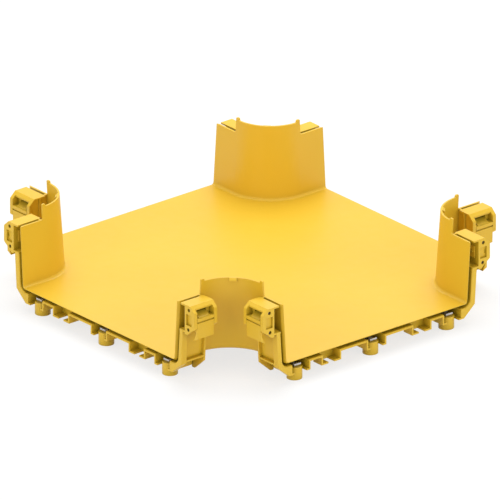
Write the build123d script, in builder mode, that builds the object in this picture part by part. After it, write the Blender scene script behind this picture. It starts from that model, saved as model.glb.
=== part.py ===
from build123d import *
import os
from math import atan, degrees, radians, sqrt, tan

# Four-way cross fitting for a 12 x 4 inch fibre raceway, in millimetres.
# It stands on the undersides of its round bosses, with the origin under the centre of
# the cross, +Z up and one arm along each of +X, +Y, -X and -Y.
# Offsets are measured outwards from the foot of a wall's inner face, and heights from
# the top face of the floor.

# Tray: one moulding, a flat floor with four curved corner walls
channel_width = 305.0
corner_radius = 62.0
wall_height = 101.6
wall_thickness = 2.5
floor_thickness = 2.5
floor_fillet = 4.0
wall_draft = 3.8
end_wall_height = 84.0
step_lead = 3.0
tip_width = 5.0
tip_rise = 3.4
tip_round = 1.2
step_round = 2.0
end_bevel_length = 3.5
end_lip = 0.7
lug_width = 10.0
lug_depth = 3.5
lug_height = 4.5
lug_lip = 1.0

# Coupler: the U-shaped sleeve round the end of each arm
coupler_length = 41.0
corner_gap = 0.5
slot_gap = 4.2
floor_slot_gap = 3.4
lead_in = 1.2
bond_gap = 0.1
seat_length = 7.0
sleeve_thickness = 2.5
sleeve_height = 47.0
rim_length = 9.0
rim_thickness = 7.2
rim_chamfer_width = 18.5
rim_chamfer_height = 16.0
back_rim_length = 3.0
back_rim_drop = 4.0
side_rib_thickness = 2.5

# Pockets and bosses under the coupler's floor
pocket_width = 33.0
pocket_wall = 2.2
pocket_depth = 11.6
boss_inset = 24.0
boss_setback = 12.9
boss_diameter = 20.7
boss_below_pocket = 11.0
boss_seat_rise = 4.5
guide_inset = 52.0
guide_length = 15.0
guide_slot_width = 10.0

# Latch housing on each side of the coupler
housing_setback = 0.5
housing_inset = 1.5
partition_offset = 20.4
partition_thickness = 1.8
closure_thickness = 2.5
back_relief = 2.4
shelf_thickness = 2.5
roof_thickness = 2.2
roof_bend_lead = 2.5
roof_slope_length = 4.0
roof_round = 4.0
cheek_thickness = 5.2
cheek_offset = 39.7
cheek_bevel = 8.0
cheek_drop = 5.0
cheek_heel = 3.5
cheek_round = 3.5
recess_width = 11.0
recess_inset = 1.0
recess_share = 0.56
recess_depth = 2.8
slit_width = 1.8
slit_share = 0.35
slit_depth = 1.2

# Steel pins of the latch
pin_diameter = 4.8
pin_clearance = 0.05
pin_inset = 2.0
pin_end_wall = 1.0
pivot_offset = 28.5
stop_offset = 27.5
stop_rise = 3.0

# Latch lever
lever_side_gap = 0.3
lever_wall = 2.6
eye_diameter = 7.2
eye_gap = 0.3
lever_lean = 1.0
lever_proud = 0.3
lever_foot_drop = 11.6
ledge_share = 0.38
ledge_thickness = 6.3
ledge_slope_rise = 5.5
groove_height = 2.2
groove_depth = 1.8
lever_arm_width = 5.0
stop_rib_thickness = 2.4
stop_rib_gap = 0.15
hook_reach = 4.4
hook_fall = 3.7
hook_rise = 9.0

# Spring-steel bite clips
clip_thickness = 0.9
clip_bite = 1.0
wall_clip_width = 16.0
wall_clip_setback = 8.0
wall_clip_base = 10.0
wall_clip_gap = 4.0
stake_diameter = 4.0
stake_height = 1.8
stake_clearance = 0.1
floor_clip_width = 11.0
floor_clip_setback = 6.5
floor_clip_base = 14.5
floor_clip_gap = 2.0
floor_clip_lip = 4.2

# Screw that holds each floor clip on its boss
screw_head_diameter = 9.0
screw_head_height = 2.6
screw_shank_diameter = 4.0
screw_length = 12.0
screw_clearance = 0.1

# Places that follow from the sizes above
half_width = channel_width / 2
opening_reach = half_width + corner_radius + corner_gap + coupler_length
draft_slope = tan(radians(wall_draft))
slot_offset = wall_thickness + slot_gap
slot_drop = floor_thickness + floor_slot_gap
sleeve_offset = slot_offset + sleeve_thickness
sleeve_drop = slot_drop + sleeve_thickness
rim_offset = slot_offset + rim_thickness
pocket_drop = sleeve_drop + pocket_depth
floor_top = pocket_drop + boss_below_pocket
tip_height = wall_height + tip_rise
coupler_back = opening_reach - coupler_length
seat_front = coupler_back + seat_length
housing_front = opening_reach - housing_setback
housing_back = coupler_back + housing_inset
housing_length = housing_front - housing_back
boss_center = opening_reach - boss_setback
boss_seat = boss_below_pocket + pocket_wall + boss_seat_rise
boss_pitch = half_width - boss_inset
boss_rows = (-boss_pitch, 0, boss_pitch)
guide_rows = (guide_inset - boss_pitch, boss_pitch - guide_inset)
beyond = 4 * opening_reach


def across(offset):
    """Distance from the middle of the channel to a place at an offset from the wall."""
    return half_width + offset


def above(height):
    """Distance from the underside of the bosses to a height over the floor."""
    return floor_top + height


def cross_plan(grow):
    """Plan of the four-armed channel, grown outwards from its inner walls."""
    with BuildSketch() as plan:
        Rectangle(beyond, channel_width + 2 * grow)
        Rectangle(channel_width + 2 * grow, beyond)
        fillet(plan.vertices().sort_by_distance((0, 0, 0))[:4], corner_radius - grow)
    return plan.sketch


def reach(edge):
    """How far out along its arm the middle of an edge lies."""
    middle = edge.center()
    return max(abs(middle.X), abs(middle.Y))


def channel_body(grow, drop):
    """The channel as a solid: its plan drawn upwards with the wall draft, with a rounded foot."""
    with BuildPart() as body:
        with BuildSketch(Plane.XY.offset(above(-drop))):
            add(cross_plan(grow - drop * draft_slope))
        extrude(amount=tip_height + drop, taper=-wall_draft)
        fillet(body.faces().sort_by(Axis.Z)[0].edges(), floor_fillet + grow)
    return body.part


def channel_section(grow, drop, top):
    """Section across one arm, filled, grown outwards and downwards and cut off at a height."""
    foot = across(grow - drop * draft_slope)
    head = across(grow + top * draft_slope)
    with BuildSketch() as section:
        with BuildLine():
            Polyline(
                (-foot, above(-drop)),
                (foot, above(-drop)),
                (head, above(top)),
                (-head, above(top)),
                close=True,
            )
        make_face()
        fillet(section.vertices().group_by(Axis.Y)[0], floor_fillet + grow)
    return section.sketch


def rim_section(drop):
    """The coupler's two thick side rims with chamfered lower corners, filled, down to a drop."""
    chamfer_top = rim_chamfer_height - drop
    inner_edge = boss_pitch + pocket_width / 2 - pocket_wall
    with BuildSketch() as section:
        with BuildLine():
            Polyline(
                (inner_edge, above(-drop)),
                (across(rim_offset - rim_chamfer_width), above(-drop)),
                (across(rim_offset + chamfer_top * draft_slope), above(chamfer_top)),
                (across(rim_offset + sleeve_height * draft_slope), above(sleeve_height)),
                (inner_edge, above(sleeve_height)),
                close=True,
            )
        make_face()
        mirror(about=Plane.YZ)
    return section.sketch


def cheek_section():
    """Outline of the cheeks that carry the pins, from the partition outwards."""
    with BuildSketch() as section:
        with BuildLine():
            Polyline(
                (across(partition_offset), above(cheek_bottom)),
                (across(stop_offset - pin_diameter / 2), above(cheek_bottom)),
                (across(stop_offset + cheek_heel), above(stop_height - pin_diameter / 2)),
                (across(cheek_offset), above(stop_height + cheek_heel)),
                (across(cheek_offset), above(end_wall_height - cheek_bevel)),
                (across(roof_bend), above(end_wall_height)),
                (across(partition_offset), above(end_wall_height)),
                close=True,
            )
        make_face()
        fillet(section.vertices().group_by(Axis.X)[-1], cheek_round)
        fillet(section.vertices().group_by(Axis.Y)[-1].sort_by(Axis.X)[-1], roof_round)
    return section.sketch


# Tray
tray_body = channel_body(wall_thickness, floor_thickness)
channel_void = channel_body(0, 0)
lug_radius = sqrt(2) * across(corner_radius) - corner_radius + wall_height * draft_slope
tip_square = 2 * (coupler_back + step_lead)
top_square = tip_square - 2 * tip_width
with BuildPart() as end_cut:
    with BuildSketch(Plane.XY.offset(above(end_wall_height))):
        Rectangle(beyond, beyond)
        Rectangle(tip_square, tip_square, mode=Mode.SUBTRACT)
    extrude(amount=beyond)
    fillet(end_cut.faces().sort_by(Axis.Z)[0].inner_wires()[0].edges(), step_round)
with BuildPart() as top_cut:
    with BuildSketch(Plane.XY.offset(above(wall_height))):
        Rectangle(top_square, top_square)
    extrude(amount=beyond)
    fillet(top_cut.faces().sort_by(Axis.Z)[0].edges(), step_round)
# Bevel outside the end of the +X arm, which leaves a thin lip to lead a channel in
end_bevel_angle = degrees(atan((wall_thickness - end_lip) / end_bevel_length))
with BuildPart() as end_bevel:
    with BuildSketch(Plane.YZ.offset(opening_reach)):
        Rectangle(beyond, beyond)
    extrude(amount=-end_bevel_length)
    with BuildSketch(Plane.YZ.offset(opening_reach)):
        add(channel_section(end_lip, end_lip, tip_height))
    extrude(amount=-end_bevel_length, taper=-end_bevel_angle, mode=Mode.SUBTRACT)
with BuildPart() as lug:
    with BuildSketch(Plane.XZ):
        with BuildLine():
            Polyline(
                (lug_radius + wall_thickness / 2, above(wall_height)),
                (lug_radius + wall_thickness + lug_lip, above(wall_height)),
                (lug_radius + wall_thickness + lug_depth, above(wall_height - lug_depth + lug_lip)),
                (lug_radius + wall_thickness + lug_depth, above(wall_height - lug_height)),
                (lug_radius + wall_thickness / 2, above(wall_height - lug_height)),
                close=True,
            )
        make_face()
    extrude(amount=lug_width / 2, both=True)
with BuildPart() as tray:
    add(tray_body)
    add(channel_void, mode=Mode.SUBTRACT)
    Box(2 * opening_reach, 2 * opening_reach, beyond, mode=Mode.INTERSECT)
    # Walls step down where the couplers sit, and dip between their raised tips
    add(end_cut.part, mode=Mode.SUBTRACT)
    add(top_cut.part, mode=Mode.SUBTRACT)
    tip_edges = tray.faces().filter_by(Axis.Z).group_by(Axis.Z)[-1].edges().group_by(reach)
    fillet(tip_edges[0] + tip_edges[-1], tip_round)
    for turn in (0, 90, 180, 270):
        add(end_bevel.part, rotation=(0, 0, turn), mode=Mode.SUBTRACT)
    # Ramped cover lug outside the middle of each corner wall
    for turn in (45, 135, 225, 315):
        add(lug.part, rotation=(0, 0, turn))

# Latch housing on the +Y side of the +X opening
roof_bottom = end_wall_height - roof_thickness
pivot_height = roof_bottom - eye_gap - eye_diameter / 2
stop_height = sleeve_height + stop_rise
shelf_bottom = sleeve_height - shelf_thickness
cheek_bottom = sleeve_height - cheek_drop
partition_outer = partition_offset + partition_thickness
roof_inner = slot_offset + end_wall_height * draft_slope
roof_bend = pivot_offset + roof_bend_lead
roof_outer = roof_bend + roof_slope_length
roof_fall = roof_slope_length * cheek_bevel / (cheek_offset - roof_bend)
seat_offset = wall_thickness + bond_gap
seat_inner_low = seat_offset + shelf_bottom * draft_slope
seat_inner_high = seat_offset + end_wall_height * draft_slope
pin_span = pivot_height - stop_height
pin_hole_back = housing_back + back_relief + pin_end_wall
pin_back = pin_hole_back + pin_clearance
pin_length = housing_front - pin_inset - pin_back
cheek_outline = cheek_section()
recess_height = recess_share * pin_span
recess_place = (
    across(partition_outer + recess_inset + recess_width / 2),
    above((pivot_height + stop_height) / 2),
)
with BuildPart() as housing:
    # Roof over the clip cavity, falling away beyond the pivot
    with BuildSketch(Plane.YZ.offset(housing_back)) as roof:
        with BuildLine():
            Polyline(
                (across(roof_inner), above(roof_bottom)),
                (across(roof_inner), above(end_wall_height)),
                (across(roof_bend), above(end_wall_height)),
                (across(roof_outer), above(end_wall_height - roof_fall)),
                (across(roof_outer), above(roof_bottom - roof_fall)),
                (across(roof_bend), above(roof_bottom)),
                close=True,
            )
        make_face()
        bend_corners = roof.vertices().group_by(Axis.X)[1].sort_by(Axis.Y)
        fillet(bend_corners[0], roof_round - roof_thickness)
        fillet(bend_corners[-1], roof_round)
    extrude(amount=housing_length)
    # Partition behind the lever and shelf under the cavity
    with BuildSketch(Plane.YZ.offset(housing_back)):
        with BuildLine():
            Polyline(
                (across(slot_offset + sleeve_height * draft_slope), above(sleeve_height)),
                (across(partition_offset), above(sleeve_height)),
                (across(partition_offset), above(end_wall_height)),
                (across(partition_outer), above(end_wall_height)),
                (across(partition_outer), above(shelf_bottom)),
                (across(slot_offset + shelf_bottom * draft_slope), above(shelf_bottom)),
                close=True,
            )
        make_face()
    extrude(amount=housing_length)
    # Back of the cavity, seated on the tray wall and set in like the relief
    with BuildSketch(Plane.YZ.offset(housing_back + back_relief)):
        with BuildLine():
            Polyline(
                (across(seat_inner_low), above(shelf_bottom)),
                (across(partition_outer), above(shelf_bottom)),
                (across(partition_outer), above(end_wall_height)),
                (across(seat_inner_high), above(end_wall_height)),
                close=True,
            )
        make_face()
    extrude(amount=closure_thickness)
    # Cheeks that carry the pins
    for cheek_start in (housing_back, housing_front - cheek_thickness):
        with BuildSketch(Plane.YZ.offset(cheek_start)):
            add(cheek_outline)
        extrude(amount=cheek_thickness)
    # Relief in the back cheek, inside a rim as thick as the partition
    with BuildSketch(Plane.YZ.offset(housing_back)):
        add(cheek_outline)
        offset(amount=-partition_thickness, mode=Mode.REPLACE)
    extrude(amount=back_relief, mode=Mode.SUBTRACT)
    # Pin holes through the front cheek, closed at the back one
    with BuildSketch(Plane.YZ.offset(pin_hole_back)):
        with Locations(
            (across(pivot_offset), above(pivot_height)),
            (across(stop_offset), above(stop_height)),
        ):
            Circle(pin_diameter / 2 + pin_clearance)
    extrude(amount=housing_front - pin_hole_back, mode=Mode.SUBTRACT)
    # Shallow recess with a slit in the front cheek
    with BuildSketch(Plane.YZ.offset(housing_front)):
        with Locations(recess_place):
            Rectangle(recess_width, recess_height)
    extrude(amount=-recess_depth, mode=Mode.SUBTRACT)
    with BuildSketch(Plane.YZ.offset(housing_front - recess_depth)):
        with Locations((recess_place[0] + (recess_width - slit_width) / 2, recess_place[1])):
            Rectangle(slit_width, slit_share * recess_height)
    extrude(amount=-slit_depth, mode=Mode.SUBTRACT)

# Wall clip: a bent leaf staked to the partition, its free end leaning into the slot
wall_clip_front = opening_reach - wall_clip_setback
wall_clip_bend = wall_clip_front - wall_clip_base
wall_clip_tip = housing_back + back_relief + closure_thickness + wall_clip_gap
wall_clip_mid = (sleeve_height + roof_bottom) / 2
wall_clip_low = wall_clip_mid - wall_clip_width / 2
wall_bite_offset = slot_offset + wall_clip_mid * draft_slope - clip_bite
stake_place = (wall_clip_bend + wall_clip_base / 2, above(wall_clip_mid))
with BuildPart() as wall_clip:
    with BuildSketch(Plane.XY.offset(above(wall_clip_low))):
        with BuildLine():
            Polyline(
                (wall_clip_front, across(partition_offset)),
                (wall_clip_bend, across(partition_offset)),
                (wall_clip_tip, across(wall_bite_offset + clip_thickness)),
                (wall_clip_tip, across(wall_bite_offset)),
                (wall_clip_bend, across(partition_offset - clip_thickness)),
                (wall_clip_front, across(partition_offset - clip_thickness)),
                close=True,
            )
        make_face()
    extrude(amount=wall_clip_width)
    with BuildSketch(Plane.XZ.offset(-across(partition_offset))):
        with Locations(stake_place):
            Circle(stake_diameter / 2 + stake_clearance)
    extrude(amount=clip_thickness, mode=Mode.SUBTRACT)

# Coupler
slot_section = channel_section(slot_offset, slot_drop, tip_height)
seat_section = channel_section(seat_offset, floor_thickness + bond_gap, tip_height)
sleeve_section = channel_section(sleeve_offset, sleeve_drop, sleeve_height)
lead_section = channel_section(slot_offset + lead_in, slot_drop + lead_in, tip_height)
front_rims = rim_section(pocket_drop)
back_rims = rim_section(pocket_drop + back_rim_drop)
pocket_top = slot_drop - floor_slot_gap / 2
boss_pocket_length = opening_reach - seat_front
with BuildPart() as coupler:
    # Sleeve round the slot, with a thick rim at the opening and a seat on the tray at the back
    with BuildSketch(Plane.YZ.offset(seat_front)):
        add(sleeve_section)
        add(slot_section, mode=Mode.SUBTRACT)
    extrude(amount=opening_reach - seat_front)
    with BuildSketch(Plane.YZ.offset(opening_reach - rim_length)):
        add(front_rims)
        add(slot_section, mode=Mode.SUBTRACT)
    extrude(amount=rim_length)
    with BuildSketch(Plane.YZ.offset(coupler_back)):
        add(sleeve_section)
        add(seat_section, mode=Mode.SUBTRACT)
    extrude(amount=seat_length)
    with BuildSketch(Plane.YZ.offset(coupler_back)):
        add(back_rims)
        add(seat_section, mode=Mode.SUBTRACT)
    extrude(amount=back_rim_length)
    # Rib along each side, between the rims
    with BuildSketch(Plane.YZ.offset(coupler_back)):
        for side in (1, -1):
            with Locations((side * across(rim_offset), above(0))):
                Rectangle(
                    rim_thickness - sleeve_thickness / 2,
                    side_rib_thickness,
                    align=(Align.MAX if side > 0 else Align.MIN, Align.MAX),
                )
    extrude(amount=coupler_length - rim_length)
    # Lead-in at the mouth of the slot
    with BuildSketch(Plane.YZ.offset(opening_reach)):
        add(lead_section)
    extrude(amount=-lead_in, taper=45, mode=Mode.SUBTRACT)
    # Walls of the pockets under the floor
    with BuildSketch(Plane.XY.offset(above(-pocket_drop))):
        with Locations(*[(opening_reach, row) for row in boss_rows]):
            Rectangle(boss_pocket_length + pocket_wall, pocket_width, align=(Align.MAX, Align.CENTER))
        with Locations(*[(opening_reach, row) for row in guide_rows]):
            Rectangle(guide_length + pocket_wall, pocket_width, align=(Align.MAX, Align.CENTER))
    extrude(amount=pocket_depth)
    with BuildSketch(Plane.XY.offset(above(pocket_wall - pocket_drop))):
        with Locations(*[(opening_reach, row) for row in boss_rows]):
            Rectangle(
                boss_pocket_length, pocket_width - 2 * pocket_wall, align=(Align.MAX, Align.CENTER)
            )
        with Locations(*[(opening_reach, row) for row in guide_rows]):
            Rectangle(guide_length, pocket_width - 2 * pocket_wall, align=(Align.MAX, Align.CENTER))
    extrude(amount=pocket_drop - pocket_wall - pocket_top, mode=Mode.SUBTRACT)
    # Open slot in the floor of each guide pocket, and a notch before each boss
    with BuildSketch(Plane.XY.offset(above(-pocket_drop))):
        with Locations(*[(opening_reach, row) for row in boss_rows]):
            Rectangle(boss_setback, boss_diameter, align=(Align.MAX, Align.CENTER))
        with Locations(*[(opening_reach, row) for row in guide_rows]):
            Rectangle(guide_length, guide_slot_width, align=(Align.MAX, Align.CENTER))
    extrude(amount=pocket_wall, mode=Mode.SUBTRACT)
    # Bosses that the fitting stands on, with a hole for each clip screw
    with BuildSketch():
        with Locations(*[(boss_center, row) for row in boss_rows]):
            Circle(boss_diameter / 2)
    extrude(amount=boss_seat)
    with BuildSketch(Plane.XY.offset(boss_seat)):
        with Locations(*[(boss_center, row) for row in boss_rows]):
            Circle(screw_shank_diameter / 2 + screw_clearance)
    extrude(amount=-screw_length, mode=Mode.SUBTRACT)
    # Latch housings on both sides, each with a stake for its wall clip
    add(housing.part)
    mirror(housing.part, about=Plane.XZ)
    for side in (1, -1):
        with BuildSketch(Plane.XZ.offset(-side * across(partition_offset))):
            with Locations(stake_place):
                Circle(stake_diameter / 2)
        extrude(amount=side * stake_height)

# Pins
with BuildPart() as pivot_pin:
    with BuildSketch(Plane.YZ.offset(pin_back)):
        with Locations((across(pivot_offset), above(pivot_height))):
            Circle(pin_diameter / 2)
    extrude(amount=pin_length)
with BuildPart() as stop_pin:
    with BuildSketch(Plane.YZ.offset(pin_back)):
        with Locations((across(stop_offset), above(stop_height))):
            Circle(pin_diameter / 2)
    extrude(amount=pin_length)

# Latch lever: hangs from the pivot pin between the cheeks and rests on the stop pin
lever_start = housing_back + cheek_thickness + lever_side_gap
lever_width = housing_length - 2 * cheek_thickness - 2 * lever_side_gap
lever_face = cheek_offset + lever_proud
lever_bottom = stop_height - lever_foot_drop
ledge_top = pivot_height - ledge_share * pin_span
ledge_bottom = ledge_top - ledge_thickness
arm_inner = pivot_offset - lever_wall / 2
stop_rib_start = stop_offset + pin_diameter / 2 + stop_rib_gap
foot_outer = lever_face - lever_lean
foot_inner = foot_outer - lever_wall
with BuildPart() as lever:
    with BuildSketch(Plane.YZ.offset(lever_start)):
        with Locations((across(pivot_offset), above(pivot_height))):
            Circle(eye_diameter / 2)
        # Arm from the eye down to the ledge
        with Locations((across(arm_inner), above(ledge_bottom))):
            Rectangle(lever_wall, pivot_height - ledge_bottom, align=(Align.MIN, Align.MIN))
            Rectangle(lever_face - arm_inner, ledge_thickness, align=(Align.MIN, Align.MIN))
        # Thumb plate, leaning in towards its foot
        with BuildLine():
            Polyline(
                (across(lever_face - lever_wall), above(ledge_top)),
                (across(lever_face), above(ledge_top)),
                (across(foot_outer), above(lever_bottom)),
                (across(foot_inner), above(lever_bottom)),
                close=True,
            )
        make_face()
        # Hook at the foot, hanging inwards from the plate's lower edge
        with BuildLine():
            Polyline(
                (across(foot_outer), above(lever_bottom)),
                (across(foot_inner - hook_reach), above(lever_bottom - hook_fall)),
                (across(foot_outer - lever_wall / 2), above(lever_bottom + hook_rise)),
                close=True,
            )
        make_face()
        # Rib that meets the stop pin
        with Locations((across(stop_rib_start), above(stop_height))):
            Rectangle(
                lever_face - lever_wall - stop_rib_start, stop_rib_thickness, align=(Align.MIN, Align.CENTER)
            )
        # Groove along the foot of the ledge, and the pin's hole
        with Locations((across(lever_face), above(ledge_bottom))):
            Rectangle(
                2 * groove_depth, groove_height, align=(Align.CENTER, Align.MIN), mode=Mode.SUBTRACT
            )
        with Locations((across(pivot_offset), above(pivot_height))):
            Circle(pin_diameter / 2 + pin_clearance, mode=Mode.SUBTRACT)
    extrude(amount=lever_width)
    # Gap between the two arms
    with BuildSketch(Plane.YZ.offset(lever_start + lever_arm_width)):
        with Locations((across(pivot_offset), above(ledge_top))):
            Rectangle(2 * eye_diameter, 2 * pin_span, align=(Align.CENTER, Align.MIN))
    extrude(amount=lever_width - 2 * lever_arm_width, mode=Mode.SUBTRACT)
    # Slope behind the window, from the ledge up to the line of the arms
    with BuildSketch(Plane.YZ.offset(lever_start + lever_arm_width)):
        with BuildLine():
            Polyline(
                (across(arm_inner), above(ledge_top)),
                (across(lever_face - lever_wall), above(ledge_top)),
                (across(arm_inner), above(ledge_top + ledge_slope_rise)),
                close=True,
            )
        make_face()
    extrude(amount=lever_width - 2 * lever_arm_width)

# Floor clip: a bent leaf screwed to its boss, with a lip in front and its free end rising into the slot
floor_clip_front = opening_reach - floor_clip_setback
floor_clip_bend = floor_clip_front - floor_clip_base
floor_clip_tip = seat_front + floor_clip_gap
floor_bite_height = above(clip_bite - slot_drop)
with BuildPart() as floor_clip:
    with BuildSketch(Plane.XZ.offset(-floor_clip_width / 2)):
        with BuildLine():
            Polyline(
                (floor_clip_front, boss_seat),
                (floor_clip_bend, boss_seat),
                (floor_clip_tip, floor_bite_height - clip_thickness),
                (floor_clip_tip, floor_bite_height),
                (floor_clip_bend, boss_seat + clip_thickness),
                (floor_clip_front - clip_thickness, boss_seat + clip_thickness),
                (floor_clip_front - clip_thickness, boss_seat + floor_clip_lip),
                (floor_clip_front, boss_seat + floor_clip_lip),
                close=True,
            )
        make_face()
    extrude(amount=floor_clip_width)
    with BuildSketch(Plane.XY.offset(boss_seat)):
        with Locations((boss_center, 0)):
            Circle(screw_shank_diameter / 2 + screw_clearance)
    extrude(amount=clip_thickness, mode=Mode.SUBTRACT)

# Screws of one coupler's three floor clips
with BuildPart() as clip_screws:
    with BuildSketch(Plane.XY.offset(boss_seat + clip_thickness)):
        with Locations(*[(boss_center, row) for row in boss_rows]):
            Circle(screw_head_diameter / 2)
    extrude(amount=screw_head_height)
    fillet(clip_screws.faces().group_by(Axis.Z)[-1].edges(), screw_head_height / 2)
    with BuildSketch(Plane.XY.offset(boss_seat + clip_thickness)):
        with Locations(*[(boss_center, row) for row in boss_rows]):
            Circle(screw_shank_diameter / 2)
    extrude(amount=screw_clearance - screw_length)

os.makedirs("parts", exist_ok=True)
tray.part.label = "tray"
export_step(tray.part, "parts/tray.step")

# The four couplers with what they carry, each turned to its own opening
sided_pieces = {
    "latch_lever": lever,
    "pivot_pin": pivot_pin,
    "stop_pin": stop_pin,
    "wall_clip": wall_clip,
}
openings = {"east": 0, "north": 90, "west": 180, "south": 270}
for opening, turn in openings.items():
    with BuildPart() as turned:
        add(coupler.part, rotation=(0, 0, turn))
    turned.part.label = f"coupler_{opening}"
    export_step(turned.part, f"parts/coupler_{opening}.step")
    with BuildPart() as turned:
        add(clip_screws.part, rotation=(0, 0, turn))
    turned.part.label = f"clip_screws_{opening}"
    export_step(turned.part, f"parts/clip_screws_{opening}.step")
    for place, row in zip(("left", "middle", "right"), boss_rows):
        with BuildPart() as shifted:
            with Locations((0, row, 0)):
                add(floor_clip.part)
        with BuildPart() as turned:
            add(shifted.part, rotation=(0, 0, turn))
        turned.part.label = f"floor_clip_{opening}_{place}"
        export_step(turned.part, f"parts/floor_clip_{opening}_{place}.step")
    for name, piece in sided_pieces.items():
        with BuildPart() as mirrored:
            mirror(piece.part, about=Plane.XZ)
        for place, shape in (("right", piece.part), ("left", mirrored.part)):
            with BuildPart() as turned:
                add(shape, rotation=(0, 0, turn))
            turned.part.label = f"{name}_{opening}_{place}"
            export_step(turned.part, f"parts/{name}_{opening}_{place}.step")
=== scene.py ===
from math import cos, pi, radians, sin, tan

import bmesh
import bpy
from bpy.props import FloatProperty, FloatVectorProperty, IntProperty, PointerProperty
from mathutils import Euler, Matrix, Vector


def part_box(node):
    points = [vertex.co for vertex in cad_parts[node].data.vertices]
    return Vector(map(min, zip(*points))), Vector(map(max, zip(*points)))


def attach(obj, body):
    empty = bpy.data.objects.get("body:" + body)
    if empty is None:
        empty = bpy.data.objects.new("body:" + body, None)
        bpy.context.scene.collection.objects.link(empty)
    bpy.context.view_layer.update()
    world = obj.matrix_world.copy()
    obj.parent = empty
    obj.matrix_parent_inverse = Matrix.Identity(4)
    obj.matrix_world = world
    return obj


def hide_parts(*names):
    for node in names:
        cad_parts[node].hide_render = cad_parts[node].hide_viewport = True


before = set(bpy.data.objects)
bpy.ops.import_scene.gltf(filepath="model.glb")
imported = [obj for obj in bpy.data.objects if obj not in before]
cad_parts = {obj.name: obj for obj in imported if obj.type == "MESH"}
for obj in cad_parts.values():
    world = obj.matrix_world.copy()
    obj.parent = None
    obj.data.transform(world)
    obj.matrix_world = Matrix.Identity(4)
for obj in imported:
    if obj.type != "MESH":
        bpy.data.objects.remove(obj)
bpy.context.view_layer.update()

bl_info = {
    "name": "Raceway cross fitting",
    "version": (1, 0, 0),
    "blender": (4, 5, 0),
    "location": "View3D > Sidebar > Raceway",
    "description": "Dresses a yellow four-way cable raceway fitting and sets it on a plain stage",
    "category": "Object",
}

OPENINGS = ("east", "north", "west", "south")
SIDES = ("left", "right")
FLOOR_CLIPS = ("left", "middle", "right")

# Shifts that give each moulding flow marks of its own
TRAY_SHIFT = 0.0
COUPLER_SHIFT = 1.7
LEVER_SHIFT = 11.3
LEAF_SHIFT = 17.9

# Surface patterns: marks to the metre, the band of the noise that shows, and the effect on roughness
FLOW_SCALE = 5.0
FLOW_BAND = (0.35, 0.65)
MOTTLE_SCALE = 60.0
MOTTLE_BAND = (0.3, 0.7)
MOTTLE_EFFECT = (-0.03, 0.03)
EDGE_EFFECT = -0.08
LINE_SCALE = 1600.0
LINE_BAND = (0.42, 0.62)
STAIN_SCALE = 140.0
STAIN_BAND = (0.3, 0.7)
STAIN_EFFECT = (-0.08, 0.1)

# How far lines are drawn out: along a strip or pin, and round a screw
DRAWN_SCALE = 0.05
TOOL_MARK_STRETCH = (1.0, 1.0, 0.2)

# Fineness of the shading and of the meshes
SURFACE_SAMPLES = 6
BEND_STEPS = 6
CROWN_STEPS = 8
SCREW_SIDES = 48
CREASE_ANGLE = radians(35)

# Turn of an opening's first screw in radians, and how much further the last one is turned
SCREW_TURN = 0.4
SCREW_TURN_SPREAD = 1.1

WHITE = (1.0, 1.0, 1.0, 1.0)


def colour_prop(name, description, default):
    """A colour that a user can change."""
    return FloatVectorProperty(
        name=name, description=description, subtype="COLOR", size=4, min=0.0, max=1.0, default=default
    )


def length_prop(name, description, default):
    """A length in metres that a user can change."""
    return FloatProperty(
        name=name,
        description=description,
        unit="LENGTH",
        subtype="DISTANCE",
        min=0.0,
        precision=5,
        default=default,
    )


def share_prop(name, description, default):
    """A share from 0 to 1 that a user can change."""
    return FloatProperty(
        name=name, description=description, subtype="FACTOR", min=0.0, max=1.0, default=default
    )


def strength_prop(name, description, default):
    """A strength or power that a user can change."""
    return FloatProperty(name=name, description=description, min=0.0, default=default)


def angle_prop(name, description, default):
    """An angle that a user can change, its default given in degrees."""
    return FloatProperty(name=name, description=description, subtype="ANGLE", default=radians(default))


def place_prop(name, description, default):
    """A place in metres that a user can change."""
    return FloatVectorProperty(
        name=name, description=description, unit="LENGTH", subtype="TRANSLATION", size=3, default=default
    )


class MouldedFinish(bpy.types.PropertyGroup):
    """Yellow moulded plastic of the tray, couplers and levers, and the coat of the wall clips"""

    colour: colour_prop("Colour", "Main colour of the moulded plastic", (0.83, 0.528, 0.032, 1.0))
    flow_colour: colour_prop("Flow colour", "Tone of the faint flow marks", (0.795, 0.498, 0.027, 1.0))
    # Painted highlight: this light colour is mixed in along edges
    edge_colour: colour_prop("Edge highlight colour", "Painted highlight tone on an edge", (0.88, 0.62, 0.08, 1.0))
    # Painted shade: this dark colour is mixed in where a face lies in a slot or pocket
    deep_colour: colour_prop("Painted shade colour", "Painted shade tone in a slot or pocket", (0.45, 0.325, 0.015, 1.0))
    roughness: share_prop("Roughness", "How matt the moulded face is", 0.42)
    gloss: share_prop("Gloss", "How strongly the moulded face mirrors", 0.4)
    grain: length_prop("Grain", "Size of the fine mould texture", 0.0011)
    grain_depth: length_prop("Grain depth", "Depth of the fine mould texture", 0.00003)
    edge_radius: length_prop("Edge radius", "Rounding that the mould leaves on an edge", 0.0006)
    edge_strength: strength_prop("Edge strength", "How strongly an edge takes the painted highlight and its lower roughness", 1.6)
    # Reach and open-view band of the painted shade
    slot_shade_reach: length_prop("Slot shade reach", "Width of a slot in which painted shade falls", 0.022)
    housing_shade_reach: length_prop("Housing shade reach", "Width of a coupler's hollow in which painted shade falls", 0.022)
    slot_dark: share_prop("Slot dark", "Share of open view at which a face takes all the painted shade", 0.15)
    slot_light: share_prop("Slot light", "Share of open view from which a face takes no painted shade", 0.72)


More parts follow.
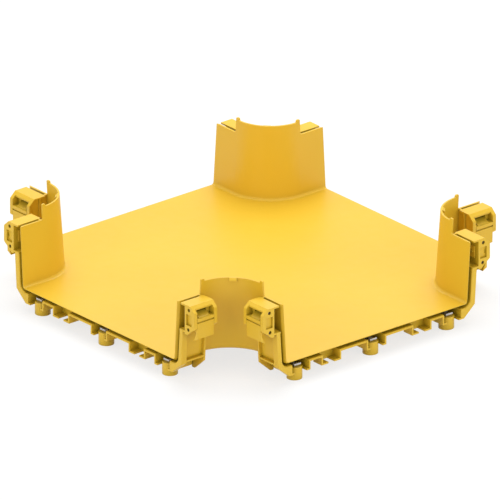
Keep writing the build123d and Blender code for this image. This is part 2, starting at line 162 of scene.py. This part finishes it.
class SteelFinish(bpy.types.PropertyGroup):
    """Steel of the floor clips, pins and screws"""

    strip_colour: colour_prop("Strip colour", "Colour of the spring strip", (0.58, 0.56, 0.56, 1.0))
    strip_lines: colour_prop("Strip lines", "Colour of its rolling lines", (0.72, 0.70, 0.69, 1.0))
    pin_colour: colour_prop("Pin colour", "Colour of the blackened pins", (0.085, 0.068, 0.07, 1.0))
    pin_lines: colour_prop("Pin lines", "Colour of the pins' drawing lines", (0.13, 0.11, 0.11, 1.0))
    screw_colour: colour_prop("Screw colour", "Colour of the plated screws", (0.44, 0.43, 0.42, 1.0))
    screw_lines: colour_prop("Screw lines", "Colour of the screws' tool marks", (0.55, 0.54, 0.53, 1.0))
    roughness: share_prop("Roughness", "How dull the steel is", 0.42)
    line_depth: length_prop("Line depth", "Depth of the fine lines", 0.00001)


class ClipSizes(bpy.types.PropertyGroup):
    """Sizes of the bite clips' strip, bends and teeth"""

    thickness: length_prop("Thickness", "Thickness of the spring strip", 0.0009)
    bend_radius: length_prop("Bend radius", "Radius of the strip's bends", 0.0014)
    floor_base: length_prop("Floor base", "Length of the flat base of a floor clip", 0.0145)
    floor_lip: length_prop("Floor lip", "Height of the front lip of a floor clip", 0.0042)
    wall_base: length_prop("Wall base", "Length of the flat base of a wall clip", 0.01)
    tooth_depth: length_prop("Tooth depth", "Depth of the notches in the biting edge", 0.0011)
    teeth: IntProperty(name="Teeth", description="Number of teeth in the biting edge", min=1, default=5)


class ScrewSizes(bpy.types.PropertyGroup):
    """Sizes of the clip screws, with shares of the head's and the recess's size"""

    shank_radius: length_prop("Shank radius", "Radius of the screw's shank", 0.002)
    foot_share: share_prop("Foot share", "Radius of the head's rounded foot", 0.97)
    foot_rise: share_prop("Foot rise", "Height of the head's rounded foot", 0.06)
    crown_rise: share_prop("Crown rise", "Height at which the head's crown starts", 0.4)
    flat_radius: length_prop("Flat radius", "Radius of the flat on top of the head", 0.0031)
    recess_radius: length_prop("Recess radius", "Reach of the cross recess", 0.0025)
    recess_width: length_prop("Recess width", "Width of the recess's arms", 0.0011)
    recess_depth: length_prop("Recess depth", "Depth of the cross recess", 0.0015)
    floor_reach: share_prop("Floor reach", "Reach of the recess at its floor", 0.55)
    floor_width: share_prop("Floor width", "Width of the recess's arms at its floor", 0.6)


class StageSettings(bpy.types.PropertyGroup):
    """Camera, floor and light"""

    azimuth: angle_prop("Azimuth", "Turn of the camera round the part", 50.03)
    elevation: angle_prop("Elevation", "Height angle of the camera", 23.25)
    frame_width: length_prop("Frame width", "Width that the camera sees", 0.6488)
    aim_height: length_prop("Aim height", "Height of the point that the camera is set from", 0.031)
    aim_rise: length_prop("Aim rise", "How far above that point the frame's middle is", 0.0306)
    camera_distance: length_prop("Camera distance", "How far off the camera stands", 3.0)
    view_depth: length_prop("View depth", "How far the camera sees", 30.0)
    floor_size: length_prop("Floor size", "Half the width of the plain floor", 8.0)
    floor_colour: colour_prop("Floor colour", "Colour of the plain floor", (0.86, 0.86, 0.86, 1.0))
    floor_gap: length_prop("Floor gap", "How far the floor lies under the part", 0.0002)
    floor_roughness: share_prop("Floor roughness", "How matt the floor is", 0.9)
    floor_gloss: share_prop("Floor gloss", "How strongly the floor mirrors", 0.1)
    floor_glow: strength_prop("Floor glow", "Strength of the floor's own white", 1.06)
    floor_white: share_prop("Floor white", "Share of its own white in the floor that is seen", 0.7)
    sky: strength_prop("Sky", "Strength of the even light", 0.52)
    key: strength_prop("Key", "Power of the soft overhead lamp in watts", 52.0)
    key_size: length_prop("Key size", "Width of the overhead lamp", 2.2)
    key_place: place_prop("Key place", "Where the overhead lamp hangs", (-0.6, 0.6, 2.3))
    key_aim: place_prop("Key aim", "Where the overhead lamp points", (0.0, 0.0, 0.0))
    fill: strength_prop("Fill", "Power of each soft side lamp in watts", 10.0)
    fill_size: length_prop("Fill size", "Width of each side lamp", 1.6)
    left_place: place_prop("Left place", "Where the left lamp stands", (0.4, -2.15, 0.9))
    right_place: place_prop("Right place", "Where the right lamp stands", (2.2, -0.05, 0.9))
    fill_aim: place_prop("Fill aim", "Where the side lamps point", (0.0, 0.0, 0.05))


def new_group(name, inputs, outputs):
    """An empty shader node group with named sockets."""
    group = bpy.data.node_groups.new(name, "ShaderNodeTree")
    for label, kind in inputs.items():
        group.interface.new_socket(name=label, in_out="INPUT", socket_type=f"NodeSocket{kind}")
    for label, kind in outputs.items():
        group.interface.new_socket(name=label, in_out="OUTPUT", socket_type=f"NodeSocket{kind}")
    return group, group.nodes.new("NodeGroupInput"), group.nodes.new("NodeGroupOutput")


def math_node(tree, operation, first, second=None, clamp=False):
    """A math node with its two values linked or set, and its output."""
    node = tree.nodes.new("ShaderNodeMath")
    node.operation = operation
    node.use_clamp = clamp
    for socket, value in zip(node.inputs, (first, second)):
        if isinstance(value, (int, float)):
            socket.default_value = value
        elif value is not None:
            tree.links.new(value, socket)
    return node.outputs[0]


def colour_mix(tree, factor, first, second):
    """A colour mix with its factor and colours linked, and its output."""
    node = tree.nodes.new("ShaderNodeMix")
    node.data_type = "RGBA"
    tree.links.new(factor, node.inputs["Factor"])
    sockets = [socket for socket in node.inputs if socket.type == "RGBA"]
    for socket, colour in zip(sockets, (first, second)):
        tree.links.new(colour, socket)
    return next(socket for socket in node.outputs if socket.type == "RGBA")


def noise(tree, vector, scale, detail=2.0, roughness=0.5):
    """Noise over a vector; the scale is set or linked. Gives the factor output."""
    node = tree.nodes.new("ShaderNodeTexNoise")
    tree.links.new(vector, node.inputs["Vector"])
    if isinstance(scale, (int, float)):
        node.inputs["Scale"].default_value = scale
    else:
        tree.links.new(scale, node.inputs["Scale"])
    node.inputs["Detail"].default_value = detail
    node.inputs["Roughness"].default_value = roughness
    return node.outputs["Fac"]


def remap(tree, value, band, target=(0.0, 1.0)):
    """A value moved from a band to a target range, clamped. The ends are set or linked."""
    node = tree.nodes.new("ShaderNodeMapRange")
    tree.links.new(value, node.inputs["Value"])
    for label, number in zip(("From Min", "From Max", "To Min", "To Max"), (*band, *target)):
        if isinstance(number, (int, float)):
            node.inputs[label].default_value = number
        else:
            tree.links.new(number, node.inputs[label])
    return node.outputs["Result"]


def edge_highlight_group():
    """Where an edge is, for a painted highlight and a smoother finish there, and the normal that a
    slightly rounded edge has.
    """
    group, given, result = new_group(
        "edge_wear_and_highlight",
        {"Radius": "Float", "Strength": "Float"},
        {"Edge": "Float", "Normal": "Vector"},
    )
    bevel = group.nodes.new("ShaderNodeBevel")
    bevel.samples = SURFACE_SAMPLES
    group.links.new(given.outputs["Radius"], bevel.inputs["Radius"])
    surface = group.nodes.new("ShaderNodeNewGeometry")
    agree = group.nodes.new("ShaderNodeVectorMath")
    agree.operation = "DOT_PRODUCT"
    group.links.new(bevel.outputs["Normal"], agree.inputs[0])
    group.links.new(surface.outputs["Normal"], agree.inputs[1])
    turned = math_node(group, "SUBTRACT", 1.0, agree.outputs["Value"])
    edge = math_node(group, "MULTIPLY", turned, given.outputs["Strength"], clamp=True)
    group.links.new(edge, result.inputs["Edge"])
    group.links.new(bevel.outputs["Normal"], result.inputs["Normal"])
    return group


def painted_shade_group():
    """Painted shade for a face that lies deep in a slot or pocket, from 0 in the open to 1."""
    group, given, result = new_group(
        "painted_shade_mask",
        {"Reach": "Float", "Dark": "Float", "Light": "Float"},
        {"Deep": "Float"},
    )
    view = group.nodes.new("ShaderNodeAmbientOcclusion")
    view.samples = SURFACE_SAMPLES
    group.links.new(given.outputs["Reach"], view.inputs["Distance"])
    band = (given.outputs["Dark"], given.outputs["Light"])
    group.links.new(remap(group, view.outputs["AO"], band, (1.0, 0.0)), result.inputs["Deep"])
    return group


def moulded_skin_group():
    """Colour with a painted highlight on edges and painted shade in slots, roughness and fine grain of a
    moulded plastic face.
    """
    group, given, result = new_group(
        "moulded_skin",
        {
            "Colour": "Color",
            "Flow Colour": "Color",
            "Edge Colour": "Color",
            "Deep Colour": "Color",
            "Edge": "Float",
            "Deep": "Float",
            "Grain Scale": "Float",
            "Roughness": "Float",
            "Shift": "Float",
        },
        {"Colour": "Color", "Roughness": "Float", "Height": "Float"},
    )
    place = group.nodes.new("ShaderNodeTexCoord")
    shift = group.nodes.new("ShaderNodeVectorMath")
    shift.operation = "ADD"
    group.links.new(place.outputs["Object"], shift.inputs[0])
    group.links.new(given.outputs["Shift"], shift.inputs[1])
    vector = shift.outputs["Vector"]
    flow = remap(group, noise(group, vector, FLOW_SCALE, detail=3.0), FLOW_BAND)
    mottle = remap(group, noise(group, vector, MOTTLE_SCALE), MOTTLE_BAND, MOTTLE_EFFECT)
    grain = noise(group, vector, given.outputs["Grain Scale"], roughness=0.6)
    toned = colour_mix(group, flow, given.outputs["Colour"], given.outputs["Flow Colour"])
    # Painted highlight along edges
    edged = colour_mix(group, given.outputs["Edge"], toned, given.outputs["Edge Colour"])
    # Painted shade in slots and pockets
    shaded = colour_mix(group, given.outputs["Deep"], edged, given.outputs["Deep Colour"])
    group.links.new(shaded, result.inputs["Colour"])
    worn = math_node(group, "MULTIPLY", given.outputs["Edge"], EDGE_EFFECT)
    rough = math_node(group, "ADD", given.outputs["Roughness"], mottle)
    group.links.new(math_node(group, "ADD", rough, worn, clamp=True), result.inputs["Roughness"])
    group.links.new(grain, result.inputs["Height"])
    return group


def rolled_steel_group():
    """Colour, roughness and fine lines of steel that was rolled or drawn along one direction."""
    group, given, result = new_group(
        "rolled_steel",
        {"Colour": "Color", "Line Colour": "Color", "Roughness": "Float", "Stretch": "Vector"},
        {"Colour": "Color", "Roughness": "Float", "Height": "Float"},
    )
    place = group.nodes.new("ShaderNodeTexCoord")
    stretch = group.nodes.new("ShaderNodeVectorMath")
    stretch.operation = "MULTIPLY"
    group.links.new(place.outputs["Object"], stretch.inputs[0])
    group.links.new(given.outputs["Stretch"], stretch.inputs[1])
    lines = noise(group, stretch.outputs["Vector"], LINE_SCALE, detail=3.0, roughness=0.6)
    stain = noise(group, place.outputs["Object"], STAIN_SCALE, detail=3.0)
    bright = remap(group, lines, LINE_BAND)
    toned = colour_mix(group, bright, given.outputs["Colour"], given.outputs["Line Colour"])
    group.links.new(toned, result.inputs["Colour"])
    dull = remap(group, stain, STAIN_BAND, STAIN_EFFECT)
    rough = math_node(group, "ADD", given.outputs["Roughness"], dull, clamp=True)
    group.links.new(rough, result.inputs["Roughness"])
    group.links.new(lines, result.inputs["Height"])
    return group


def shared_group(name, make):
    """A node group by name, made the first time that it is asked for."""
    return bpy.data.node_groups.get(name) or make()


def place_group(tree, group, **values):
    """A group placed in a material, with its own values."""
    node = tree.nodes.new("ShaderNodeGroup")
    node.node_tree = group
    for label, value in values.items():
        node.inputs[label.replace("_", " ").title()].default_value = value
    return node


def new_material(name):
    """A material with its Principled shader."""
    material = bpy.data.materials.new(name)
    material.use_nodes = True
    return material, material.node_tree, material.node_tree.nodes["Principled BSDF"]


def bump(tree, height, shader, depth, normal=None):
    """A bump of a depth that feeds a shader's normal."""
    node = tree.nodes.new("ShaderNodeBump")
    node.inputs["Strength"].default_value = 1.0
    node.inputs["Distance"].default_value = depth
    tree.links.new(height, node.inputs["Height"])
    if normal is not None:
        tree.links.new(normal, node.inputs["Normal"])
    tree.links.new(node.outputs["Normal"], shader.inputs["Normal"])


def moulded_material(name, finish, shift, reach):
    """Yellow moulded plastic with shifted flow marks, a painted highlight on its edges and painted shade
    within a reach of other faces.
    """
    material, tree, shader = new_material(name)
    edge = place_group(
        tree,
        shared_group("edge_wear_and_highlight", edge_highlight_group),
        radius=finish.edge_radius,
        strength=finish.edge_strength,
    )
    # Painted shade within the reach of other faces
    deep = place_group(
        tree,
        shared_group("painted_shade_mask", painted_shade_group),
        reach=reach,
        dark=finish.slot_dark,
        light=finish.slot_light,
    )
    skin = place_group(
        tree,
        shared_group("moulded_skin", moulded_skin_group),
        colour=finish.colour,
        flow_colour=finish.flow_colour,
        edge_colour=finish.edge_colour,
        deep_colour=finish.deep_colour,
        grain_scale=1.0 / finish.grain,
        roughness=finish.roughness,
        shift=shift,
    )
    shader.inputs["Specular IOR Level"].default_value = finish.gloss
    tree.links.new(edge.outputs["Edge"], skin.inputs["Edge"])
    tree.links.new(deep.outputs["Deep"], skin.inputs["Deep"])
    tree.links.new(skin.outputs["Colour"], shader.inputs["Base Color"])
    tree.links.new(skin.outputs["Roughness"], shader.inputs["Roughness"])
    bump(tree, skin.outputs["Height"], shader, finish.grain_depth, edge.outputs["Normal"])
    return material


def steel_material(name, finish, colour, lines, stretch):
    """Steel of a colour, with fine lines along one direction."""
    material, tree, shader = new_material(name)
    steel = place_group(
        tree,
        shared_group("rolled_steel", rolled_steel_group),
        colour=colour,
        line_colour=lines,
        roughness=finish.roughness,
        stretch=stretch,
    )
    shader.inputs["Metallic"].default_value = 1.0
    tree.links.new(steel.outputs["Colour"], shader.inputs["Base Color"])
    tree.links.new(steel.outputs["Roughness"], shader.inputs["Roughness"])
    bump(tree, steel.outputs["Height"], shader, finish.line_depth)
    return material


def paint(node_name, material):
    """Gives a carried-over node one material."""
    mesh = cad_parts[node_name].data
    mesh.materials.clear()
    mesh.materials.append(material)


def drawn_along(opening):
    """Stretch that draws a steel's lines out along an opening's arm."""
    if opening in ("east", "west"):
        return (DRAWN_SCALE, 1.0, 1.0)
    return (1.0, DRAWN_SCALE, 1.0)


class RACEWAY_OT_tray(bpy.types.Operator):
    """Finishes the one-piece tray in yellow moulded plastic"""

    bl_idname = "raceway.tray"
    bl_label = "Finish tray"

    def execute(self, context):
        finish = context.scene.raceway_moulded
        paint("tray", moulded_material("tray_plastic", finish, TRAY_SHIFT, finish.slot_shade_reach))
        return {"FINISHED"}


class RACEWAY_OT_couplers(bpy.types.Operator):
    """Finishes the four couplers, each a moulding of its own"""

    bl_idname = "raceway.couplers"
    bl_label = "Finish couplers"

    def execute(self, context):
        finish = context.scene.raceway_moulded
        for number, opening in enumerate(OPENINGS, 1):
            name = f"coupler_plastic_{opening}"
            material = moulded_material(name, finish, COUPLER_SHIFT * number, finish.housing_shade_reach)
            paint(f"coupler_{opening}", material)
        return {"FINISHED"}


class RACEWAY_OT_levers(bpy.types.Operator):
    """Finishes the release levers"""

    bl_idname = "raceway.levers"
    bl_label = "Finish levers"

    def execute(self, context):
        finish = context.scene.raceway_moulded
        material = moulded_material("lever_plastic", finish, LEVER_SHIFT, finish.slot_shade_reach)
        for opening in OPENINGS:
            for side in SIDES:
                paint(f"latch_lever_{opening}_{side}", material)
        return {"FINISHED"}


class RACEWAY_OT_pins(bpy.types.Operator):
    """Finishes the drawn steel pins of the levers"""

    bl_idname = "raceway.pins"
    bl_label = "Finish pins"

    def execute(self, context):
        finish = context.scene.raceway_steel
        for opening in OPENINGS:
            material = steel_material(
                f"pin_steel_{opening}", finish, finish.pin_colour, finish.pin_lines, drawn_along(opening)
            )
            for side in SIDES:
                paint(f"pivot_pin_{opening}_{side}", material)
                paint(f"stop_pin_{opening}_{side}", material)
        return {"FINISHED"}


def add_piece(context, draft, name, material, node):
    """Makes a piece of the fitting from a draft mesh and puts it in a CAD node's place."""
    mesh = bpy.data.meshes.new(name)
    draft.to_mesh(mesh)
    draft.free()
    mesh.materials.append(material)
    for polygon in mesh.polygons:
        polygon.use_smooth = True
    mesh.set_sharp_from_angle(angle=CREASE_ANGLE)
    piece = bpy.data.objects.new(name, mesh)
    context.scene.collection.objects.link(piece)
    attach(piece, "fitting")
    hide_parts(node)
    paint(node, material)


def bent_path(corners, radius):
    """Points along a flat line, with an arc at each corner between its ends."""
    points = [corners[0]]
    for before, corner, after in zip(corners, corners[1:], corners[2:]):
        back = (before - corner).normalized()
        ahead = (after - corner).normalized()
        half = back.angle(ahead) / 2
        centre = corner + (back + ahead).normalized() * radius / sin(half)
        first = corner + back * radius / tan(half) - centre
        last = corner + ahead * radius / tan(half) - centre
        for step in range(BEND_STEPS + 1):
            points.append(centre + first.slerp(last, step / BEND_STEPS).normalized() * radius)
    return points + [corners[-1]]


def strip_mesh(path, low, high, sizes):
    """A strip bent along a flat path, from low to high across its width, with a toothed far edge."""
    mesh = bmesh.new()
    columns = 2 * sizes.teeth + 1
    last = len(path) - 1
    layers = []
    for side in (0.5, -0.5):
        rows = []
        for place, point in enumerate(path):
            ahead = (path[min(place + 1, last)] - path[max(place - 1, 0)]).normalized()
            spot = point + Vector((-ahead.y, ahead.x)) * sizes.thickness * side
            row = []
            for column in range(columns):
                notch = sizes.tooth_depth if place == last and column % 2 == 0 else 0.0
                across = low + (high - low) * column / (columns - 1)
                row.append(mesh.verts.new((*(spot - ahead * notch), across)))
            rows.append(row)
        layers.append(rows)
    for rows in layers:
        for near, far in zip(rows, rows[1:]):
            for column in range(columns - 1):
                mesh.faces.new((near[column], near[column + 1], far[column + 1], far[column]))
    # Ends of the strip, then its long edges
    top, bottom = layers
    rims = [(top[row], bottom[row]) for row in (0, last)]
    for column in (0, columns - 1):
        rims.append(([row[column] for row in top], [row[column] for row in bottom]))
    for upper, lower in rims:
        for step in range(len(upper) - 1):
            mesh.faces.new((upper[step], upper[step + 1], lower[step + 1], lower[step]))
    return mesh


class RACEWAY_OT_clips(bpy.types.Operator):
    """Makes the spring-steel bite clips with rounded bends and teeth, the wall clips painted yellow"""

    bl_idname = "raceway.clips"
    bl_label = "Make clips"

    def execute(self, context):
        finish = context.scene.raceway_steel
        coat = context.scene.raceway_moulded
        # The painted shade on the leaves reaches only as far as the edge rounding, so they stay light in
        # their cavity
        painted = moulded_material("leaf_paint", coat, LEAF_SHIFT, coat.edge_radius)
        for quarter, opening in enumerate(OPENINGS):
            bare = steel_material(
                f"clip_steel_{opening}",
                finish,
                finish.strip_colour,
                finish.strip_lines,
                drawn_along(opening),
            )
            turn = Matrix.Rotation(pi / 2 * quarter, 4, "Z")
            for place in FLOOR_CLIPS:
                strip = self.floor_strip(context, place)
                self.add_clip(context, strip, turn, f"floor_clip_{opening}_{place}", bare)
            for side in SIDES:
                strip = self.wall_strip(context, side)
                self.add_clip(context, strip, turn, f"wall_clip_{opening}_{side}", painted)
        return {"FINISHED"}

    def floor_strip(self, context, place):
        """A floor clip of the east opening: lip, base on the boss and leaf that rises to the slot."""
        sizes = context.scene.raceway_clips
        low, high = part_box(f"floor_clip_east_{place}")
        half = sizes.thickness / 2
        corners = [
            Vector((high.x - half, low.z + sizes.floor_lip)),
            Vector((high.x - half, low.z + half)),
            Vector((high.x - sizes.floor_base, low.z + half)),
            Vector((low.x, high.z - half)),
        ]
        strip = strip_mesh(bent_path(corners, sizes.bend_radius), low.y, high.y, sizes)
        upright = Matrix(((1, 0, 0, 0), (0, 0, 1, 0), (0, 1, 0, 0), (0, 0, 0, 1)))
        bmesh.ops.transform(strip, matrix=upright, verts=strip.verts)
        return strip

    def wall_strip(self, context, side):
        """A wall clip of the east opening: base on the partition and leaf that leans to the slot."""
        sizes = context.scene.raceway_clips
        low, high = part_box("wall_clip_east_right")
        half = sizes.thickness / 2
        corners = [
            Vector((high.x, high.y - half)),
            Vector((high.x - sizes.wall_base, high.y - half)),
            Vector((low.x, low.y + half)),
        ]
        strip = strip_mesh(bent_path(corners, sizes.bend_radius), low.z, high.z, sizes)
        if side == "left":
            mirror = Matrix.Scale(-1, 4, Vector((0, 1, 0)))
            bmesh.ops.transform(strip, matrix=mirror, verts=strip.verts)
        return strip

    def add_clip(self, context, strip, turn, node, material):
        """Turns a strip to its opening and puts it in a CAD clip's place."""
        bmesh.ops.transform(strip, matrix=turn, verts=strip.verts)
        bmesh.ops.recalc_face_normals(strip, faces=strip.faces)
        add_piece(context, strip, f"sprung_{node}", material, node)


def ring(mesh, radius, height, count):
    """A ring of points round the Z axis."""
    angles = [2 * pi * step / count for step in range(count)]
    return [mesh.verts.new((radius * cos(angle), radius * sin(angle), height)) for angle in angles]


def join_rings(mesh, first, second):
    """Faces between two rings of as many points."""
    count = len(first)
    for step in range(count):
        after = (step + 1) % count
        mesh.faces.new((first[step], first[after], second[after], second[step]))


def cross_outline(mesh, reach, width, height):
    """The twelve corners of a plus sign."""
    half = width / 2
    quarter = [(half, half), (reach, half), (reach, -half)]
    points = []
    for turn in range(4):
        spin = Matrix.Rotation(-pi / 2 * turn, 2)
        points += [spin @ Vector(point) for point in quarter]
    return [mesh.verts.new((point.x, point.y, height)) for point in points]


def screw_mesh(sizes, head_radius, head_height, shank_length):
    """A pan-head screw with a cross recess, its head standing on the plane of the origin."""
    mesh = bmesh.new()
    profile = [
        (sizes.shank_radius, -shank_length),
        (sizes.shank_radius, 0.0),
        (head_radius * sizes.foot_share, 0.0),
        (head_radius, head_height * sizes.foot_rise),
    ]
    rise = head_height * sizes.crown_rise
    for step in range(CROWN_STEPS + 1):
        angle = pi / 2 * step / CROWN_STEPS
        reach = sizes.flat_radius + (head_radius - sizes.flat_radius) * cos(angle)
        profile.append((reach, rise + (head_height - rise) * sin(angle)))
    rings = [ring(mesh, radius, height, SCREW_SIDES) for radius, height in profile]
    mesh.faces.new(list(reversed(rings[0])))
    for first, second in zip(rings, rings[1:]):
        join_rings(mesh, first, second)
    # Cross recess, narrowing towards its floor
    mouth = cross_outline(mesh, sizes.recess_radius, sizes.recess_width, head_height)
    floor = cross_outline(
        mesh,
        sizes.recess_radius * sizes.floor_reach,
        sizes.recess_width * sizes.floor_width,
        head_height - sizes.recess_depth,
    )
    edges = []
    for loop in (rings[-1], mouth):
        for step, vert in enumerate(loop):
            after = loop[(step + 1) % len(loop)]
            edges.append(mesh.edges.get((vert, after)) or mesh.edges.new((vert, after)))
    bmesh.ops.triangle_fill(mesh, edges=edges, use_beauty=True)
    join_rings(mesh, mouth, floor)
    mesh.faces.new(floor)
    bmesh.ops.recalc_face_normals(mesh, faces=mesh.faces)
    return mesh


class RACEWAY_OT_screws(bpy.types.Operator):
    """Makes the cross-recess screws that hold the floor clips"""

    bl_idname = "raceway.screws"
    bl_label = "Make clip screws"

    def execute(self, context):
        finish = context.scene.raceway_steel
        material = steel_material(
            "screw_steel", finish, finish.screw_colour, finish.screw_lines, TOOL_MARK_STRETCH
        )
        for opening in OPENINGS:
            node = f"clip_screws_{opening}"
            row = self.screw_row(context, opening, node)
            add_piece(context, row, f"recessed_screws_{opening}", material, node)
        return {"FINISHED"}

    def screw_row(self, context, opening, node):
        """The three screws of an opening: one at each end of their CAD box and one between."""
        low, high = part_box(node)
        row_axis = 1 if opening in ("east", "west") else 0
        head_radius = (high - low)[1 - row_axis] / 2
        span = (high - low)[row_axis] - 2 * head_radius
        clip_low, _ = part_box(f"floor_clip_{opening}_middle")
        head_foot = clip_low.z + context.scene.raceway_clips.thickness
        row = bmesh.new()
        for share in (0.0, 0.5, 1.0):
            place = (low + high) / 2
            place[row_axis] = low[row_axis] + head_radius + share * span
            place.z = head_foot
            turn = Matrix.Rotation(SCREW_TURN + SCREW_TURN_SPREAD * share, 4, "Z")
            screw = screw_mesh(
                context.scene.raceway_screws, head_radius, high.z - head_foot, head_foot - low.z
            )
            bmesh.ops.transform(screw, matrix=Matrix.Translation(place) @ turn, verts=screw.verts)
            draft = bpy.data.meshes.new("screw_draft")
            screw.to_mesh(draft)
            screw.free()
            row.from_mesh(draft)
            bpy.data.meshes.remove(draft)
        return row


def lamp(scene, name, power, size, place, target):
    """A soft square lamp that faces a target."""
    light = bpy.data.lights.new(name, "AREA")
    light.energy = power
    light.shape = "SQUARE"
    light.size = size
    obj = bpy.data.objects.new(name, light)
    scene.collection.objects.link(obj)
    obj.location = place
    obj.rotation_euler = (Vector(target) - Vector(place)).to_track_quat("-Z", "Y").to_euler()


def seen_directly(tree):
    """A factor that is 1 for rays that the viewer, a gloss or a glass sends."""
    path = tree.nodes.new("ShaderNodeLightPath")
    seen = math_node(tree, "MAXIMUM", path.outputs["Is Camera Ray"], path.outputs["Is Glossy Ray"])
    return math_node(tree, "MAXIMUM", seen, path.outputs["Is Transmission Ray"])


class RACEWAY_OT_stage(bpy.types.Operator):
    """Makes the plain floor, the even light, the soft lamps and the camera"""

    bl_idname = "raceway.stage"
    bl_label = "Set the stage"

    def execute(self, context):
        scene = context.scene
        settings = scene.raceway_stage
        scene.view_settings.view_transform = "Standard"
        self.make_floor(scene, settings)
        self.make_sky(scene, settings)
        for name, power, size, place, target in (
            ("overhead_lamp", settings.key, settings.key_size, settings.key_place, settings.key_aim),
            ("left_lamp", settings.fill, settings.fill_size, settings.left_place, settings.fill_aim),
            ("right_lamp", settings.fill, settings.fill_size, settings.right_place, settings.fill_aim),
        ):
            lamp(scene, name, power, size, place, target)
        self.make_camera(scene, settings)
        return {"FINISHED"}

    def make_floor(self, scene, settings):
        """A plain floor that takes the part's shadow and looks white."""
        mesh = bmesh.new()
        bmesh.ops.create_grid(mesh, x_segments=2, y_segments=2, size=settings.floor_size)
        data = bpy.data.meshes.new("studio_floor")
        mesh.to_mesh(data)
        mesh.free()
        material, tree, shader = new_material("studio_floor_paint")
        shader.inputs["Roughness"].default_value = settings.floor_roughness
        shader.inputs["Specular IOR Level"].default_value = settings.floor_gloss
        shader.inputs["Base Color"].default_value = settings.floor_colour
        glow = tree.nodes.new("ShaderNodeEmission")
        glow.inputs["Strength"].default_value = settings.floor_glow
        pale = tree.nodes.new("ShaderNodeMixShader")
        pale.inputs["Fac"].default_value = settings.floor_white
        mix = tree.nodes.new("ShaderNodeMixShader")
        out = tree.nodes["Material Output"]
        tree.links.new(shader.outputs["BSDF"], pale.inputs[1])
        tree.links.new(glow.outputs["Emission"], pale.inputs[2])
        tree.links.new(seen_directly(tree), mix.inputs["Fac"])
        tree.links.new(shader.outputs["BSDF"], mix.inputs[1])
        tree.links.new(pale.outputs["Shader"], mix.inputs[2])
        # Clear from below, so that the underside can be looked at
        clear = tree.nodes.new("ShaderNodeBsdfTransparent")
        surface = tree.nodes.new("ShaderNodeNewGeometry")
        sided = tree.nodes.new("ShaderNodeMixShader")
        tree.links.new(surface.outputs["Backfacing"], sided.inputs["Fac"])
        tree.links.new(mix.outputs["Shader"], sided.inputs[1])
        tree.links.new(clear.outputs["BSDF"], sided.inputs[2])
        tree.links.new(sided.outputs["Shader"], out.inputs["Surface"])
        data.materials.append(material)
        floor = bpy.data.objects.new("studio_floor", data)
        floor.location.z = -settings.floor_gap
        scene.collection.objects.link(floor)

    def make_sky(self, scene, settings):
        """An even light, and plain white behind the part."""
        world = bpy.data.worlds.new("studio_sky")
        scene.world = world
        world.use_nodes = True
        tree = world.node_tree
        even = tree.nodes["Background"]
        even.inputs["Color"].default_value = WHITE
        even.inputs["Strength"].default_value = settings.sky
        white = tree.nodes.new("ShaderNodeBackground")
        white.inputs["Color"].default_value = WHITE
        white.inputs["Strength"].default_value = 1.0
        mix = tree.nodes.new("ShaderNodeMixShader")
        tree.links.new(seen_directly(tree), mix.inputs["Fac"])
        tree.links.new(even.outputs["Background"], mix.inputs[1])
        tree.links.new(white.outputs["Background"], mix.inputs[2])
        tree.links.new(mix.outputs["Shader"], tree.nodes["World Output"].inputs["Surface"])

    def make_camera(self, scene, settings):
        """A camera with parallel lines of sight, turned as in the photograph."""
        data = bpy.data.cameras.new("photo_camera")
        data.type = "ORTHO"
        data.ortho_scale = settings.frame_width
        data.clip_end = settings.view_depth
        camera = bpy.data.objects.new("photo_camera", data)
        scene.collection.objects.link(camera)
        turn = Euler((pi / 2 - settings.elevation, 0.0, settings.azimuth))
        axes = turn.to_matrix()
        aim = Vector((0.0, 0.0, settings.aim_height)) + axes @ Vector((0.0, settings.aim_rise, 0.0))
        camera.rotation_euler = turn
        camera.location = aim + axes @ Vector((0.0, 0.0, settings.camera_distance))
        scene.camera = camera


class RACEWAY_PT_panel(bpy.types.Panel):
    """Lists the steps that dress the fitting"""

    bl_idname = "RACEWAY_PT_panel"
    bl_label = "Raceway cross fitting"
    bl_space_type = "VIEW_3D"
    bl_region_type = "UI"
    bl_category = "Raceway"

    def draw(self, context):
        for operator in OPERATORS:
            self.layout.operator(operator.bl_idname)


GROUPS = {
    "raceway_moulded": MouldedFinish,
    "raceway_steel": SteelFinish,
    "raceway_clips": ClipSizes,
    "raceway_screws": ScrewSizes,
    "raceway_stage": StageSettings,
}
OPERATORS = (
    RACEWAY_OT_tray,
    RACEWAY_OT_couplers,
    RACEWAY_OT_levers,
    RACEWAY_OT_pins,
    RACEWAY_OT_clips,
    RACEWAY_OT_screws,
    RACEWAY_OT_stage,
)


def register():
    """Adds the settings, operators and panel to Blender."""
    for name, group in GROUPS.items():
        bpy.utils.register_class(group)
        setattr(bpy.types.Scene, name, PointerProperty(type=group))
    for cls in (*OPERATORS, RACEWAY_PT_panel):
        bpy.utils.register_class(cls)


def unregister():
    """Takes the panel, operators and settings out of Blender."""
    for cls in (RACEWAY_PT_panel, *reversed(OPERATORS)):
        bpy.utils.unregister_class(cls)
    for name, group in reversed(GROUPS.items()):
        delattr(bpy.types.Scene, name)
        bpy.utils.unregister_class(group)


def main():
    """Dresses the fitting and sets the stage."""
    register()
    bpy.ops.raceway.tray()
    bpy.ops.raceway.couplers()
    bpy.ops.raceway.levers()
    bpy.ops.raceway.pins()
    bpy.ops.raceway.clips()
    bpy.ops.raceway.screws()
    bpy.ops.raceway.stage()


if __name__ == "__main__":
    main()
